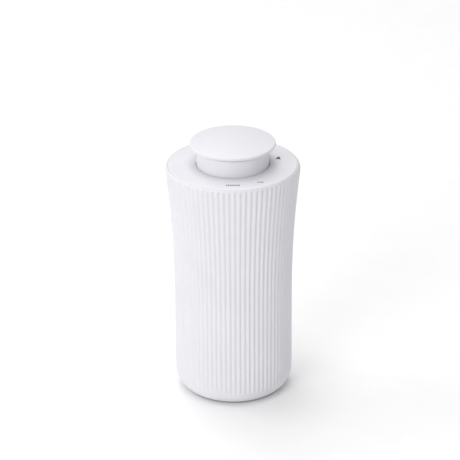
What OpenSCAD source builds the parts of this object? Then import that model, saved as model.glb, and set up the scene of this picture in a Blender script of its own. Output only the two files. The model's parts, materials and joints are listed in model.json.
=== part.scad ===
// Cup-shaped table-top air purifier: ribbed flared body, mushroom knob over the
// outlet, pull-out filter tray. Origin: centre of the footprint, on the table.
// +Z is up, and -Y is the front, where the deck's marks are.

/* [Body] */
// Height of the deck above the table
deck_h = 145; // [140:1:160]
// Radius at the flared top
rim_r = 40; // [39.5:0.1:41]
// Radius of the straight waist
waist_r = 35.3; // [35.2:0.1:36]
// Height of the rounding at the foot
foot_h = 14; // [12:0.5:14]
// Rounding between deck and side
shoulder_r = 3; // [2.6:0.1:3.2]
// Wall left behind the grooves
wall = 2; // [1.8:0.1:2.1]

/* [Ribs] */
// Number of ribs round the body
rib_n = 76; // [36:4:84]
// Depth of the grooves between ribs
rib_depth = 0.7; // [0.5:0.1:1]
// Number of grooves at the back that let air in
intake_n = 27; // [9:2:31]

/* [Knob] */
// Radius of the mushroom cap
cap_r = 25.4; // [25:0.1:26]
// Height of the cap's centre above the deck
cap_h = 16.2; // [15.8:0.1:16.4]
// Radius of the neck under the cap
neck_r = 21.5; // [21.2:0.1:21.6]
// How far the knob presses in
press = 1.5; // [0.5:0.1:1.5]
// Air gap between the neck and the cap
outlet_h = 2.6; // [1.5:0.1:2.8]

/* [Filter] */
// Radius of the filter cartridge
filter_r = 27.4; // [26.8:0.1:27.4]
// Number of pleats in the paper
pleat_n = 40; // [24:2:48]
// Radius of the bore through the cartridge
core_r = 14.6; // [14:0.1:15]

/* [Fan] */
// Radius of the impeller
fan_r = 22; // [20:0.5:22]
// Number of impeller blades
blade_n = 11; // [7:1:13]
// Number of guide vanes after the impeller
vane_n = 7; // [5:1:9]

/* [Hidden] */
$fn = 96;
slip = 0.3;     // gap between pieces that move past each other
fit = 0.1;      // gap between pieces that are fastened together
eps = 0.5;      // overrun of a cutter past the face that it cuts

// Colours
white = [0.93, 0.93, 0.94];
grey = [0.72, 0.73, 0.75];
dark = [0.16, 0.17, 0.18];
steel = [0.7, 0.71, 0.73];
brass = [0.8, 0.66, 0.34];
paper = [0.94, 0.93, 0.88];

// Heights of the base, from the table up
gap_h = 0.6;                    // air gap under the cover
edge_h = 0.8;                   // lowest edge of the shell
pad_t = 1;                      // foot pads, partly sunk in the cover
pad_in = 25.2;                  // inner radius of the foot pads
cover_t = 2.4;                  // bottom cover
floor_z = gap_h + cover_t;      // top face of the cover
tray_z = 8.5;                   // underside of the cartridge
open_r = 28.7;                  // bottom opening of the shell
cover_r = open_r - slip;
grip_r = 10.5;                  // finger recess in the cover
groove_turn = -1.9;             // turn of the grooves, so that none is quite in front
intake_w = 1.2;                 // air slots in the shell's back
intake_h = 20;
intake_rows = [18, 42];

// Heights of the top, from the deck down
deck_t = 2.4;
deck_r = rim_r - shoulder_r;    // edge of the deck's flat
seam_r = deck_r + shoulder_r * sin(30);
hole_r = neck_r + slip;         // hole round the neck
flange_z = deck_h - 7.5;        // underside of the fan housing's top flange
flange_t = 2;
flange_r = 33.5;
bulk_z = deck_h - 76;           // underside of the bulkhead over the filter
bulk_t = 2.5;
ledge_t = 2.5;                  // shell's ledge under the bulkhead
ledge_r = 28.6;
screw_r = 1;                    // M2 screws throughout
head_t = 1.4;
chassis_screw_at = 30.5;
deck_screw_at = 28.5;

// Fan and pod heights
shroud_z = bulk_z + 5;
blade_h = 11;
back_z = shroud_z + 1.2 + blade_h;          // underside of the impeller's back plate
back_t = 1.5;
cup_z = back_z + back_t;
cup_h = 10.5;
mount_z = cup_z + cup_h + 1;                // motor mount disc
mount_t = 2;
pod_z = mount_z + mount_t;
pod_r = 10.8;
pod_wall = 1.2;
plate_z = deck_h - 0.5;                     // underside of the encoder plate
plate_t = 1.5;
duct_r = 20;                                // bore of the outlet duct
duct_wall = 1.2;
chamber_r = 25.4;                           // bore round the impeller

// Encoder and knob heights
enc_h = 6.5;
bush_r = 3.5;
bush_top = plate_z + 6;
stem_r = 3;
stem_top = deck_h + 12.2;
boss_z = deck_h + 7.2;                      // underside of the knob's boss
cap_t = 1.6;
cap_top = deck_h + cap_h;
rim_round = 1.05;                           // full rounding of the cap's rim
rim_at = cap_r - rim_round;
dome_a = 11;                                // slope of the dome where it meets the rim
dome_r = rim_at / sin(dome_a) + rim_round;
dome_z = cap_top - dome_r;                  // centre of the dome's sphere
rim_z = dome_z + (dome_r - rim_round) * cos(dome_a);
neck_top = dome_z + sqrt(pow(dome_r - cap_t, 2) - pow(neck_r, 2)) - outlet_h;
lip_z = flange_z + flange_t + press + slip; // underside of the neck's retaining lip
lip_r = hole_r + 1.1;
neck_t = 1.6;
tab_at = 16.6;                              // tabs that screw the neck to the cap
tab_z = deck_h + 8;
tab_t = 1.5;
usb_z = deck_h - 27;
board_y = 23.2;                             // main board, upright behind the duct
board_z = deck_h - 44;
board_w = 22;
board_h = 34;
board_t = 1.2;

// Point on a cubic Bezier curve through p[0] to p[3]
function bezier(p, t) = pow(1 - t, 3) * p[0] + 3 * pow(1 - t, 2) * t * p[1]
    + 3 * (1 - t) * t * t * p[2] + pow(t, 3) * p[3];
function curve(p, n) = [for (i = [0:n]) bezier(p, i / n)];
function arc(c, r, a0, a1, n) = [for (i = [0:n]) let (a = a0 + (a1 - a0) * i / n) c + r * [cos(a), sin(a)]];
function reversed(p) = [for (i = [len(p) - 1:-1:0]) p[i]];
function shifted(p, d) = [for (q = p) q + d];

// Side outline, as [radius, height]: round foot, straight waist, flare, shoulder
flare = curve([[waist_r, deck_h - 85], [waist_r, deck_h - 47], [waist_r + 2.2, deck_h - 27],
    [rim_r, deck_h - shoulder_r]], 12);
foot_w = 9.6;
foot_a = 68;
foot_z = edge_h + foot_h * sin(foot_a);
foot = [for (a = [foot_a:-8.5:0]) [waist_r - foot_w + foot_w * cos(a), foot_z - foot_h * sin(a)]];
function shoulder(a0, a1, n) = arc([deck_r, deck_h - shoulder_r], shoulder_r, a0, a1, n);

// Ring between two radii, standing on z
module ring(r_out, r_in, z, h) {
    translate([0, 0, z]) difference() {
        cylinder(r = r_out, h = h);
        translate([0, 0, -eps]) cylinder(r = r_in, h = h + 2 * eps);
    }
}

module disc(r, z, h) {
    translate([0, 0, z]) cylinder(r = r, h = h);
}

// Children repeated n times round the axis
module around(n, start = 0) {
    for (i = [0:n - 1]) rotate([0, 0, start + 360 * i / n]) children();
}

// Bar with rounded ends: wide in X, tall in Z, running along Y
module slot_y(w, h, y0, y1, z) {
    translate([0, y1, z]) rotate([90, 0, 0]) linear_extrude(y1 - y0) {
        square([w - h, h], center = true);
        for (s = [-1, 1]) translate([s * (w - h) / 2, 0]) circle(d = h, $fn = 32);
    }
}

// Round tube through a list of points, as one closed skin
function unit(v) = v / norm(v);
function heading(p, i) = unit(p[min(i + 1, len(p) - 1)] - p[max(i - 1, 0)]);
function side_of(t) = unit(cross(t, abs(t[2]) > 0.9 ? [1, 0, 0] : [0, 0, 1]));
function hoop(c, t, r, n) = let (u = side_of(t), v = cross(t, u))
    [for (k = [0:n - 1]) c + r * (cos(360 * k / n) * u + sin(360 * k / n) * v)];
function tube_points(p, r, n) = [for (i = [0:len(p) - 1]) each hoop(p[i], heading(p, i), r, n)];
function tube_walls(m, n) = [for (i = [0:m - 2], k = [0:n - 1])
    [i * n + k, i * n + (k + 1) % n, (i + 1) * n + (k + 1) % n, (i + 1) * n + k]];
module tube(p, r, n = 8) {
    m = len(p);
    first = [for (k = [n - 1:-1:0]) k];
    last = [for (k = [0:n - 1]) (m - 1) * n + k];
    polyhedron(tube_points(p, r, n), concat([first], tube_walls(m, n), [last]));
}

// Screw driven upwards, with its head below head_z
module screw(head_z, tip_z) {
    disc_at(0, 1.9, head_z - head_t, head_t);
    disc_at(0, screw_r - 0.05, head_z - 0.1, tip_z - head_z + 0.1);
}

// ---- Casing ----

module ribbed_shell() {
    seat_z = deck_h - deck_t - fit;
    inner = shifted(flare, [-rib_depth - wall, 0]);
    inner_top = [for (q = inner) if (q[1] < seat_z - 6) q];
    groove = concat([[waist_r - rib_depth, edge_h]], shifted(flare, [-rib_depth, 0]),
        [[rim_r - rib_depth, deck_h], [rim_r + 3, deck_h], [rim_r + 3, edge_h]]);
    profile = concat(
        [[open_r, edge_h]], foot, [for (i = [0:len(flare) - 2]) flare[i]], shoulder(0, 60, 4),
        [[seam_r, seat_z], [deck_r - 1.6, seat_z], [deck_r - 1.6, seat_z - 2]],
        reversed(inner_top),
        [[waist_r - rib_depth - wall, floor_z + 4.5], [open_r + 1.6, floor_z], [open_r, floor_z]]);
    color(white) difference() {
        union() {
            rotate_extrude() polygon(profile);
            // Ledge that carries the bulkhead
            ring(waist_r - rib_depth - wall + 1, ledge_r, bulk_z - ledge_t, ledge_t);
            // Stops over the rim of the bottom cover, inside the foot's wall
            around(3, 30) translate([open_r - 0.8, -3, floor_z + 0.05]) cube([3.4, 6, 4]);
        }
        around(rib_n, groove_turn) rotate([0, 0, -90 / rib_n])
            rotate_extrude(angle = 180 / rib_n) polygon(groove);
        around(3, 90) disc_at(chassis_screw_at, screw_r + 0.2, bulk_z - ledge_t - eps, ledge_t + 2 * eps);
        // Air slots, in two rows along the bottom of the grooves at the back
        for (i = [0:intake_n - 1], z = intake_rows)
            rotate([0, 0, 90 + groove_turn + (i - (intake_n - 1) / 2) * 360 / rib_n])
                translate([waist_r - 5, -intake_w / 2, z]) cube([8, intake_w, intake_h]);
        // Pocket for the bezel, with the port's way in
        slot_y(14.4, 7.4, 34, rim_r + 2, usb_z);
        slot_y(10.6, 5, 28, 35, usb_z);
    }
}

module deck_plate() {
    color(white) {
        difference() {
            rotate_extrude() polygon(concat([[hole_r, deck_h - deck_t], [seam_r - fit, deck_h - deck_t]],
                shifted(shoulder(60, 90, 3), [-fit, 0]), [[hole_r, deck_h]]));
            light_pipe_place() translate([0, 0, -eps]) cylinder(r = 1, h = deck_t + 2 * eps, $fn = 32);
        }
        around(3, 30) translate([deck_screw_at, 0, 0])
            ring(2.6, screw_r - 0.05, flange_z + flange_t, deck_h - deck_t - flange_z - flange_t, $fn = 48);
    }
}

// Printed marks: a row of dashes, three dots and a pointer
mark_t = 0.12;
dashes_at = -32;
dots_at = [16, -27.7];
pointer_at = [27, 7.4];
module deck_marks() {
    color(dark) translate([0, 0, deck_h]) {
        for (i = [-3:3]) translate([i * 1.2 - 0.4, dashes_at - 0.9, 0]) cube([0.8, 1.8, mark_t]);
        for (i = [-1:1]) translate([dots_at[0] + i * 1.3, dots_at[1], 0])
            cylinder(r = 0.55, h = mark_t, $fn = 24);
        translate([pointer_at[0], pointer_at[1], 0]) rotate([0, 0, -8]) linear_extrude(mark_t)
            polygon([[0, 2.5], [-1.75, -1.8], [1.75, -1.8]]);
    }
}

module light_pipe_place() {
    rotate([0, 0, 26.5]) translate([0, -28.3, deck_h - deck_t]) children();
}

module light_pipe() {
    color([0.95, 0.97, 1]) light_pipe_place() cylinder(r = 0.9, h = deck_t, $fn = 32);
}

module usb_bezel() {
    color(grey) difference() {
        slot_y(14.2, 7.2, 34.1, 36, usb_z);
        slot_y(9.6, 3.9, 33, 37, usb_z);
    }
}

module usb_port() {
    color(steel) difference() {
        slot_y(8.94, 3.16, board_y + 1.2, 35.2, usb_z);
        slot_y(8.34, 2.56, 28, 36, usb_z);
    }
    color(dark) slot_y(6.69, 0.7, 27.9, 34.2, usb_z);
}

// ---- Knob ----

module knob_cap() {
    roof_a = dome_a - 0.9;
    dome = arc([0, dome_z], dome_r, 90, 90 - dome_a, 8);
    rim = arc([rim_at, rim_z], rim_round, 90 - dome_a, -90, 10);
    roof = arc([0, dome_z], dome_r - cap_t, 90 - roof_a, 90, 6);
    boss_base = tab_z + tab_t + fit;
    color(white) difference() {
        union() {
            rotate_extrude() polygon(concat(dome, [for (i = [1:10]) rim[i]],
                [[rim_at - 1.2, rim_z - rim_round]], roof));
            disc(5.6, boss_z + 1, cap_top - boss_z - 2);
            disc(8.4, boss_z, 1.2);
            around(4, 45) disc_at(tab_at, 2.1, boss_base, cap_top - 2.1 - boss_base);
        }
        stem(0.02, boss_z - eps, stem_top + 0.1);
        around(4, 45) disc_at(tab_at, screw_r - 0.05, boss_base - eps, 3);
        // Dimple at the centre
        disc(0.8, cap_top - 0.2, 1);
    }
}

// Shaft of the encoder with its flat, grown by a clearance
module stem(gap, z0, z1) {
    difference() {
        disc(stem_r + gap, z0, z1 - z0);
        translate([-stem_r - 1, stem_r - 1.5 + gap, z0 - eps]) cube([2 * stem_r + 2, 3, z1 - z0 + 2 * eps]);
    }
}

module knob_neck() {
    color(white) {
        ring(neck_r, neck_r - neck_t, lip_z, neck_top - lip_z);
        ring(lip_r, neck_r - neck_t, lip_z, 1.2);
        // Tabs that take the screws to the cap
        around(4, 45) difference() {
            translate([tab_at - 2.6, -3, tab_z]) cube([6.2, 6, tab_t]);
            disc_at(tab_at, screw_r + 0.2, tab_z - eps, 3);
        }
    }
}

module knob_screws() {
    color(steel) around(4, 45) translate([tab_at, 0, 0]) screw(tab_z, tab_z + 3.8);
}

// Return spring round the encoder's nut
spring_z = plate_z + plate_t;
module knob_spring() {
    turns = 4;
    steps = 18;
    wire = 0.35;
    lift = boss_z - spring_z - 2 * wire - 0.1;
    path = [for (i = [0:turns * steps]) [7.2 * cos(360 * i / steps), 7.2 * sin(360 * i / steps),
        spring_z + wire + 0.02 + lift * i / (turns * steps)]];
    color(steel) tube(path, wire, 6);
}

// ---- Encoder and boards ----

module encoder_shaft() {
    color(steel) stem(0, plate_z - 4.3, stem_top);
}

module encoder_rotor() {
    color(brass) difference() {
        disc(4.5, plate_z - 4, 1.8);
        stem(0.04, plate_z - 4 - eps, plate_z - 2.2 + eps);
    }
}

module encoder_body() {
    color(dark) difference() {
        union() {
            translate([-6, -6, plate_z - enc_h]) cube([12, 12, enc_h]);
            disc(bush_r, plate_z - 0.1, bush_top - plate_z + 0.1);
        }
        disc(stem_r + 0.04, plate_z - 2, 12);
        disc(4.7, plate_z - 4.1, 2.1);
        disc(3.4, plate_z - 6, 2.2);
    }
}

module encoder_nut() {
    color(steel) difference() {
        translate([0, 0, plate_z + plate_t]) cylinder(r = 5.7, h = 2, $fn = 6);
        disc(bush_r + 0.05, plate_z, 5);
    }
}

module encoder_plate() {
    color(grey) difference() {
        disc(pod_r, plate_z, plate_t);
        disc(bush_r + 0.05, plate_z - eps, plate_t + 2 * eps);
    }
}

module control_board() {
    ring_z = flange_z + flange_t + 0.6;
    color([0.1, 0.35, 0.22]) difference() {
        ring(34, lip_r + 0.8, ring_z, 1);
        around(3, 30) translate([deck_screw_at, 0, ring_z - eps]) cylinder(r = 3, h = 2, $fn = 48);
    }
    color([0.1, 0.35, 0.22]) around(3, 90) disc_at(30, 1.5, flange_z + flange_t, 0.6);
    color(white) light_pipe_place() translate([-0.8, -0.5, ring_z + 1 - deck_h + deck_t]) cube([1.6, 1, 0.4]);
}

module main_board() {
    color([0.1, 0.35, 0.22]) translate([-board_w / 2, board_y, board_z]) cube([board_w, board_t, board_h]);
    color(dark) translate([0, board_y + board_t, board_z]) {
        translate([-4, 0, 6]) cube([7, 1, 7]);
        translate([5, 0, 4]) cube([3, 1.6, 5]);
        translate([-9, 0, 26]) cube([4, 2.2, 6]);
    }
}

module deck_screws() {
    color(steel) around(3, 30) translate([deck_screw_at, 0, 0]) screw(flange_z, deck_h - deck_t - 0.4);
}

// ---- Fan ----

module fan_housing() {
    cone_z = mount_z - 8;
    bell = arc([core_r + 1.4, bulk_z + 3], 1.4, 90, 180, 4);
    plate_r = waist_r - rib_depth - wall - slip;
    outside = [[chamber_r + duct_wall, bulk_z + bulk_t], [chamber_r + duct_wall, cone_z],
        [duct_r + duct_wall, mount_z], [duct_r + duct_wall, flange_z],
        [flange_r, flange_z], [flange_r, flange_z + flange_t]];
    inside = [[duct_r, flange_z + flange_t], [duct_r, mount_z],
        [chamber_r, cone_z], [chamber_r, bulk_z + bulk_t]];
    color(grey) difference() {
        union() {
            rotate_extrude() polygon(concat(
                [[core_r, bulk_z], [plate_r, bulk_z], [plate_r, bulk_z + bulk_t]],
                outside, inside, [[core_r + 1.4, bulk_z + bulk_t]], bell));
            around(3, 90) disc_at(chassis_screw_at, 1.75, bulk_z + bulk_t - 0.1, 5);
            // Rails that hold the main board by its edges
            for (s = [-1, 1]) translate([s * 11.4 - 1.2, 17.6, board_z]) cube([2.4, 7.8, flange_z - board_z]);
        }
        translate([-board_w / 2 - fit, board_y - fit, board_z])
            cube([board_w + 2 * fit, board_t + 2 * fit, board_h + fit]);
        around(3, 90) disc_at(chassis_screw_at, screw_r - 0.05, bulk_z - eps, 6);
        around(3, 30) disc_at(deck_screw_at, screw_r + 0.2, flange_z - eps, flange_t + 2 * eps);
        // Holes for the leads
        lead_holes(duct_r - 2);
    }
}

module disc_at(at, r, z, h) {
    translate([at, 0, z]) cylinder(r = r, h = h, $fn = 32);
}

module chassis_screws() {
    color(steel) around(3, 90) translate([chassis_screw_at, 0, 0]) screw(bulk_z - ledge_t, bulk_z + 4.5);
}

// Motor mount with the vanes that straighten the flow
module guide_vanes() {
    vane_h = 10;
    color(grey) {
        difference() {
            union() {
                disc(12.4, mount_z, mount_t);
                disc(3.8, mount_z - 9, 9.1);
            }
            disc(3, mount_z - 9 - eps, 8.5);
            disc(1.6, mount_z - 1.5, 1.1);
        }
        ring(12.4, pod_r + fit, pod_z - 0.1, vane_h - mount_t);
        ring(duct_r - fit, duct_r - 1.1, mount_z, vane_h);
        around(vane_n, 90 + 180 / vane_n) translate([12.2, -0.6, mount_z]) cube([6.9, 1.2, vane_h]);
    }
}

// Pod over the motor; its fins centre it in the duct
module battery_tube() {
    fin_z = flange_z - 5;
    color(grey) {
        difference() {
            ring(pod_r, pod_r - pod_wall, pod_z, plate_z - pod_z);
            lead_holes(pod_r - 3);
        }
        around(3, 30) translate([pod_r - 0.4, -0.6, fin_z]) cube([duct_r - fit - pod_r + 0.4, 1.2, 6]);
    }
}

module battery_cell() {
    color([0.2, 0.42, 0.7]) disc(9.15, pod_z + 0.4, 34.6);
    color(steel) disc(3, pod_z + 35, 0.8);
}

// Leads from the pod through the duct wall to the main board
battery_lead_z = pod_z + 35.9;
motor_lead_z = pod_z + 8.2 + 0.8;
lead_heights = [battery_lead_z, motor_lead_z];
module lead_holes(y0) {
    for (z = lead_heights) translate([0, y0, z]) rotate([-90, 0, 0]) cylinder(r = 1.2, h = 6, $fn = 24);
}

module lead(z, y0) {
    y_turn = duct_r + duct_wall + 0.75;
    tube([[0, y0, z], [0, y0 + 2, z], [0, duct_r - 3, z], [0, y_turn, z], [0, board_y - 0.05, z]], 0.6);
}

module battery_lead() {
    color([0.75, 0.12, 0.1]) lead(battery_lead_z, 3.2);
}

module motor_lead() {
    color(dark) lead(motor_lead_z, pod_r - pod_wall - 0.2);
}

module motor_stator() {
    z0 = cup_z + 2.2;
    color([0.72, 0.4, 0.2]) {
        ring(5.2, 3.85, z0, 6);
        around(9) {
            translate([4.8, -0.9, z0 + 0.2]) cube([3.2, 1.8, 5.6]);
            translate([5.4, -1.3, z0 + 0.8]) cube([1.8, 2.6, 4.4]);
            rotate([0, 0, -14]) rotate_extrude(angle = 28) translate([7.6, z0]) square([1.5, 6]);
        }
    }
}

module motor_bearings() {
    color(steel) for (z = [mount_z - 8.9, mount_z - 3.6]) ring(2.98, 1.28, z, 2.6, $fn = 48);
}

module motor_cup() {
    color(steel) {
        ring(12, 10.9, cup_z, cup_h - 0.5);
        ring(12, 1.3, cup_z, 1);
    }
}

module motor_magnet() {
    color(dark) ring(10.88, 9.6, cup_z + 1.2, cup_h - 2.2);
}

module motor_shaft() {
    color(steel) disc(1.25, back_z - 6, mount_z - 1.3 - back_z + 6);
}

// Backward-curved blade: a strip between two concentric arcs
module blade() {
    bend = 14;
    swept = 75;
    mid = arc([0, 0], bend, 0, swept, 8);
    outline = concat(arc([0, 0], bend + 0.45, 0, swept, 8), reversed(arc([0, 0], bend - 0.45, 0, swept, 8)));
    span = mid[8] - mid[0];
    turn = atan2(span[1], span[0]);
    linear_extrude(blade_h + 0.4) translate([13.6, 0]) rotate(-turn + 32) translate(-mid[0]) polygon(outline);
}

module impeller() {
    shroud = [[fan_r, shroud_z], [fan_r, shroud_z + 1.2], [15.6, shroud_z + 1.2], [15.6, shroud_z]];
    color([0.2, 0.21, 0.23]) {
        rotate_extrude() polygon(shroud);
        difference() {
            union() {
                disc(fan_r, back_z, back_t);
                disc(4, back_z - 6, 6.1);
            }
            disc(1.26, back_z - 7, 12);
        }
        intersection() {
            translate([0, 0, shroud_z + 1]) around(blade_n) blade();
            ring(fan_r, 10, shroud_z + 1, blade_h + 0.4);
        }
    }
}

// ---- Filter tray ----

paper_z = tray_z + 2;
paper_top = bulk_z - 4;
module filter_gasket() {
    color(dark) ring(20, 15.5, paper_top + 2, 1.95);
}

module filter_top_cap() {
    color(dark) ring(filter_r, core_r, paper_top, 2);
}

module filter_bottom_cap() {
    color(dark) disc(filter_r, tray_z, 2);
}

module filter_wrap() {
    color(white) ring(filter_r - 0.1, filter_r - 0.6, paper_z, paper_top - paper_z);
}

// Pleated paper: a closed zigzag of even thickness
module filter_paper() {
    out_r = filter_r - 0.8;
    in_r = core_r + 3;
    thick = 1.1;    // measured radially
    function zigzag(r_peak, r_valley) = [for (i = [0:2 * pleat_n - 1])
        (i % 2 == 0 ? r_peak : r_valley) * [cos(180 * i / pleat_n), sin(180 * i / pleat_n)]];
    color(paper) translate([0, 0, paper_z]) linear_extrude(paper_top - paper_z) difference() {
        polygon(zigzag(out_r, in_r + thick));
        polygon(zigzag(out_r - thick, in_r));
    }
}

module filter_carbon() {
    color(dark) ring(core_r + 2.7, core_r + 1.1, paper_z, paper_top - paper_z);
}

// Perforated inner tube of the cartridge
module filter_core() {
    rows = 7;
    pitch = (paper_top - paper_z) / rows;
    color(white) difference() {
        ring(core_r + 1, core_r, paper_z, paper_top - paper_z);
        for (k = [0:rows - 1]) translate([0, 0, paper_z + pitch * (k + 0.5)]) around(6, 15 * (k % 2))
            cube([2 * core_r + 6, 5, pitch * 0.6], center = true);
    }
}

post_at = 12.4;
seal_z = gap_h + 0.9;
seal_h = 1;
module intake_mesh() {
    color([0.35, 0.36, 0.38]) ring(cover_r - 0.9, 14, floor_z, 0.5);
}

// Cover with the intake slots, the finger recess and the posts for the cartridge
module bottom_cover() {
    recess_t = 1.3;
    recess_h = tray_z - gap_h - 2.2;
    color(white) difference() {
        union() {
            disc(cover_r, gap_h, cover_t);
            disc(grip_r + recess_t, gap_h, recess_h + recess_t);
            around(4, 45) disc_at(post_at, 1.4, floor_z - 0.1, tray_z - floor_z + 0.1);
        }
        difference() {
            disc(grip_r, gap_h - eps, recess_h + eps);
            translate([-grip_r - 1, -2, gap_h]) cube([2 * grip_r + 2, 4, recess_h + 1]);
        }
        around(30) translate([15, -1, gap_h - eps]) cube([8.4, 2, cover_t + 2 * eps]);
        // Groove for the friction seal, and the step that takes the foot pads
        ring(cover_r + 1, cover_r - 0.8, seal_z, seal_h);
        ring(cover_r + 1, pad_in - fit, gap_h - eps, pad_t + 0.05 - gap_h + eps);
    }
}

module cover_seal() {
    color(grey) ring(open_r - 0.04, cover_r - 0.75, seal_z + 0.05, seal_h - 0.1);
}

// Four soft strips that almost close into a ring
module foot_pads() {
    arc_a = 88;
    color(dark) around(4) rotate([0, 0, -arc_a / 2]) rotate_extrude(angle = arc_a)
        translate([pad_in, 0]) square([cover_r - 0.2 - pad_in, pad_t]);
}

ribbed_shell();
deck_plate();
deck_marks();
light_pipe();
usb_bezel();
usb_port();
knob_cap();
knob_neck();
knob_screws();
knob_spring();
encoder_shaft();
encoder_rotor();
encoder_body();
encoder_nut();
encoder_plate();
control_board();
main_board();
deck_screws();
fan_housing();
chassis_screws();
guide_vanes();
battery_tube();
battery_cell();
battery_lead();
motor_lead();
motor_stator();
motor_bearings();
motor_cup();
motor_magnet();
motor_shaft();
impeller();
filter_gasket();
filter_top_cap();
filter_wrap();
filter_paper();
filter_carbon();
filter_core();
filter_bottom_cap();
intake_mesh();
bottom_cover();
cover_seal();
foot_pads();
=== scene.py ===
"""Looks of the ribbed cup-shaped air purifier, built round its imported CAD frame."""
import json
import math

import bmesh
import bpy
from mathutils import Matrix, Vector


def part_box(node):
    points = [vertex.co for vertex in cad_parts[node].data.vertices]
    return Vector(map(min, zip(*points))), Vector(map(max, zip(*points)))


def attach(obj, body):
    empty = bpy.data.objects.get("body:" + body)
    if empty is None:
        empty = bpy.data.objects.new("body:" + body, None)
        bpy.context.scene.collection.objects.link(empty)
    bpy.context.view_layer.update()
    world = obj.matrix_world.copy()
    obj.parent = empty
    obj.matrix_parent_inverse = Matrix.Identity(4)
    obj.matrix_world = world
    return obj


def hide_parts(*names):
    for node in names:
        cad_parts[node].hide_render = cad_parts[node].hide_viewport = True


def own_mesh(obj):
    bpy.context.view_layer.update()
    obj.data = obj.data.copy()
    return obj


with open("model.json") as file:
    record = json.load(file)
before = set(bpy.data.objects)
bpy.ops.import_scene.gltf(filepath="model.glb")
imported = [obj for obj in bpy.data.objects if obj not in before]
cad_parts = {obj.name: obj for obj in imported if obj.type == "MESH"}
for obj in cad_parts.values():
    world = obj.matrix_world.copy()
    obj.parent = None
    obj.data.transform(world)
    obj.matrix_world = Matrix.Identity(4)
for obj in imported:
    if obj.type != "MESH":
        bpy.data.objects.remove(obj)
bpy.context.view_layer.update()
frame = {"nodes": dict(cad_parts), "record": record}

MM = 0.001
NODES = frame["nodes"]
HOUSING, KNOB, TRAY = "housing", "knob", "filter_tray"


# ---------------------------------------------------------------- sizes, in mm

def top(node):
    """Height of a node's highest point."""
    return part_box(node)[1][2] / MM


def bottom(node):
    """Height of a node's lowest point."""
    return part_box(node)[0][2] / MM


def reach(node):
    """How far a node goes out along +X: the radius of a round one."""
    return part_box(node)[1][0] / MM


# Worked out from the frame
DECK_Z = top("deck_plate")
RIM_R = reach("ribbed_shell") + 0.01
EDGE_Z = bottom("ribbed_shell")
OPEN_R = reach("cover_seal") + 0.04
CAP_R = reach("knob_cap")
CAP_TOP = top("knob_cap")
LEDGE_Z = bottom("fan_housing")
FLANGE_TOP = top("fan_housing")
COVER_TOP = bottom("intake_mesh")
PORT_Z = (top("usb_bezel") + bottom("usb_bezel")) / 2

# Casing, deck and the air slots at the back
SHOULDER_R = 3.0
DECK_R = RIM_R - SHOULDER_R
SEAM_R = DECK_R + SHOULDER_R / 2
WAIST_R = 35.3
WALL = 2.0
FLUTES = 76
FLUTE_DEPTH = 0.7
GROOVE_TURN = -1.9
INTAKE_W, INTAKE_H, INTAKE_ROWS, INTAKE_N = 1.2, 20.0, (18.0, 42.0), 27

# Knob, and the circles that the screws stand on
NECK_R = 21.5
NECK_T = 1.6
HOLE_R = NECK_R + 0.3
TAB_Z = DECK_Z + 8.0
TAB_AT = 16.6
DECK_SCREWS_AT = 28.5
CHASSIS_SCREWS_AT = 30.5

# Charging port: width and height of each slot outline
TRIM_OUT, TRIM_IN = (14.2, 7.2), (9.6, 3.9)
TRIM_T = 1.65
PORT_SHELL = (8.94, 3.16)
PORT_SHELL_T = 0.3
PORT_HOLE = (10.6, 5.0)

# Filter tray
PAD_IN = 25.2
GRIP_R = 10.5
POST_AT = 12.4
INLET_R = 14.6


def arc(centre, radius, a0, a1, count):
    """Points of an arc as (r, z); angles in degrees from +r towards +z."""
    out = []
    for i in range(count + 1):
        a = math.radians(a0 + (a1 - a0) * i / count)
        out.append((centre[0] + radius * math.cos(a), centre[1] + radius * math.sin(a)))
    return out


def bezier(points, t):
    """Point of a cubic curve at t, from its four control points."""
    u = 1 - t
    w = (u ** 3, 3 * u * u * t, 3 * u * t * t, t ** 3)
    return tuple(sum(k * p[axis] for k, p in zip(w, points)) for axis in (0, 1))


# ---------------------------------------------------------------- materials

def new_material(name):
    """Node material, with its tree and its shader."""
    mat = bpy.data.materials.new(name)
    mat.use_nodes = True
    tree = mat.node_tree
    return mat, tree, tree.nodes["Principled BSDF"]


def noise(tree, scale, detail, roughness=0.55):
    """Noise over object coordinates, which are in metres."""
    coords = tree.nodes.new("ShaderNodeTexCoord")
    node = tree.nodes.new("ShaderNodeTexNoise")
    node.inputs["Scale"].default_value = scale
    node.inputs["Detail"].default_value = detail
    node.inputs["Roughness"].default_value = roughness
    tree.links.new(coords.outputs["Object"], node.inputs["Vector"])
    return node


def ramp(tree, source, stops):
    """Colour ramp on a source, from (place, colour) stops."""
    node = tree.nodes.new("ShaderNodeValToRGB")
    elements = node.color_ramp.elements
    while len(elements) < len(stops):
        elements.new(0.5)
    for element, (place, colour) in zip(elements, stops):
        element.position = place
        element.color = (*colour, 1)
    tree.links.new(source, node.inputs["Fac"])
    return node


def grey(value):
    """The same value in all three channels."""
    return (value, value, value)


def tint(colour, factor):
    """A lighter or darker colour, kept below full white."""
    return tuple(min(1.0, c * factor) for c in colour)


def add_bump(tree, shader, height, strength, distance):
    """Surface relief; distance is in metres."""
    bump = tree.nodes.new("ShaderNodeBump")
    bump.inputs["Strength"].default_value = strength
    bump.inputs["Distance"].default_value = distance
    tree.links.new(height, bump.inputs["Height"])
    tree.links.new(bump.outputs["Normal"], shader.inputs["Normal"])


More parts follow.
